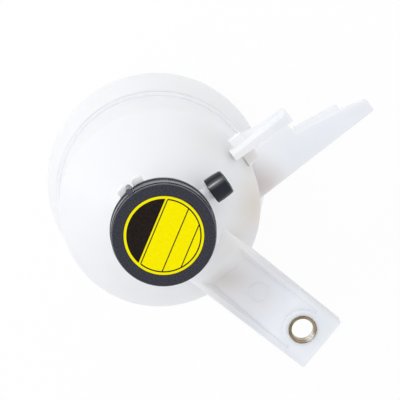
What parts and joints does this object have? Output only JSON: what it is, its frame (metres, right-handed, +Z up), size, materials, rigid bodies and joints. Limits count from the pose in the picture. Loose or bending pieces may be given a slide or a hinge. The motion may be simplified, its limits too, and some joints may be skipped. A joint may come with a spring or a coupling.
{
  "type": "coolant expansion tank",
  "caption": "Round translucent coolant expansion tank with a knurled screw pressure cap, capped overflow nipple, bolt arm with steel bush, locating tongue, hose clip and low outlet spigot.",
  "frame": {"origin": "centre of the flat base, on the axis of the filler neck", "axes": "+Z up along the filler neck, +X towards the bush of the bolt arm"},
  "size_m": [0.1736, 0.1777, 0.1961],
  "materials": {
    "tank_plastic": "satin milky translucent polypropylene",
    "cap_plastic": "fine spark-eroded grain",
    "housing_plastic": "plain moulded",
    "label_film": "printed film",
    "rubber": "moulded matt",
    "passivated_steel": "yellow passivated",
    "spring_steel": "drawn wire",
    "valve_brass": "pressed"
  },
  "bodies": {
    "tank": {"upper_shell": "tank_plastic", "lower_shell": "tank_plastic", "mount_bush": "passivated_steel"},
    "cap_core": {"valve_housing": "housing_plastic", "housing_ring": "rubber", "neck_gasket": "rubber", "spring_retainer": "valve_brass", "pressure_spring": "spring_steel"},
    "cap": {"cap_shell": "cap_plastic", "cap_label": "label_film"},
    "pressure_valve": {"pressure_plate": "valve_brass", "pressure_seal": "rubber", "vacuum_spring": "spring_steel"},
    "vacuum_valve": {"vacuum_valve": "valve_brass"},
    "blanking_cap": {"nipple_cap": "rubber"}
  },
  "joints": [
    {"name": "cap_rise", "type": "slide", "parent": "tank", "child": "cap_core", "axis": [0, 0, 1], "range_m": [0, 0.0121]},
    {"name": "cap_turn", "type": "hinge", "parent": "cap_core", "child": "cap", "pos_m": [0, 0, 0.189], "axis": [0, 0, 1], "range_deg": [0, 720]},
    {"name": "pressure_lift", "type": "slide", "parent": "cap_core", "child": "pressure_valve", "axis": [0, 0, 1], "range_m": [0, 0.002], "stiffness_N_per_m": 2000, "springref_m": -0.0005, "deforming": ["pressure_spring"]},
    {"name": "vacuum_drop", "type": "slide", "parent": "pressure_valve", "child": "vacuum_valve", "axis": [0, 0, -1], "range_m": [0, 0.0015], "stiffness_N_per_m": 100, "springref_m": -0.001, "deforming": ["vacuum_spring"]},
    {"name": "blanking_pull", "type": "slide", "parent": "tank", "child": "blanking_cap", "axis": [0.2807, 0.9598, 0], "range_m": [0, 0.015]}
  ],
  "couplings": [
    {"joint": "cap_rise", "follows": "cap_turn", "m_per_rad": 0.00095493}
  ]
}
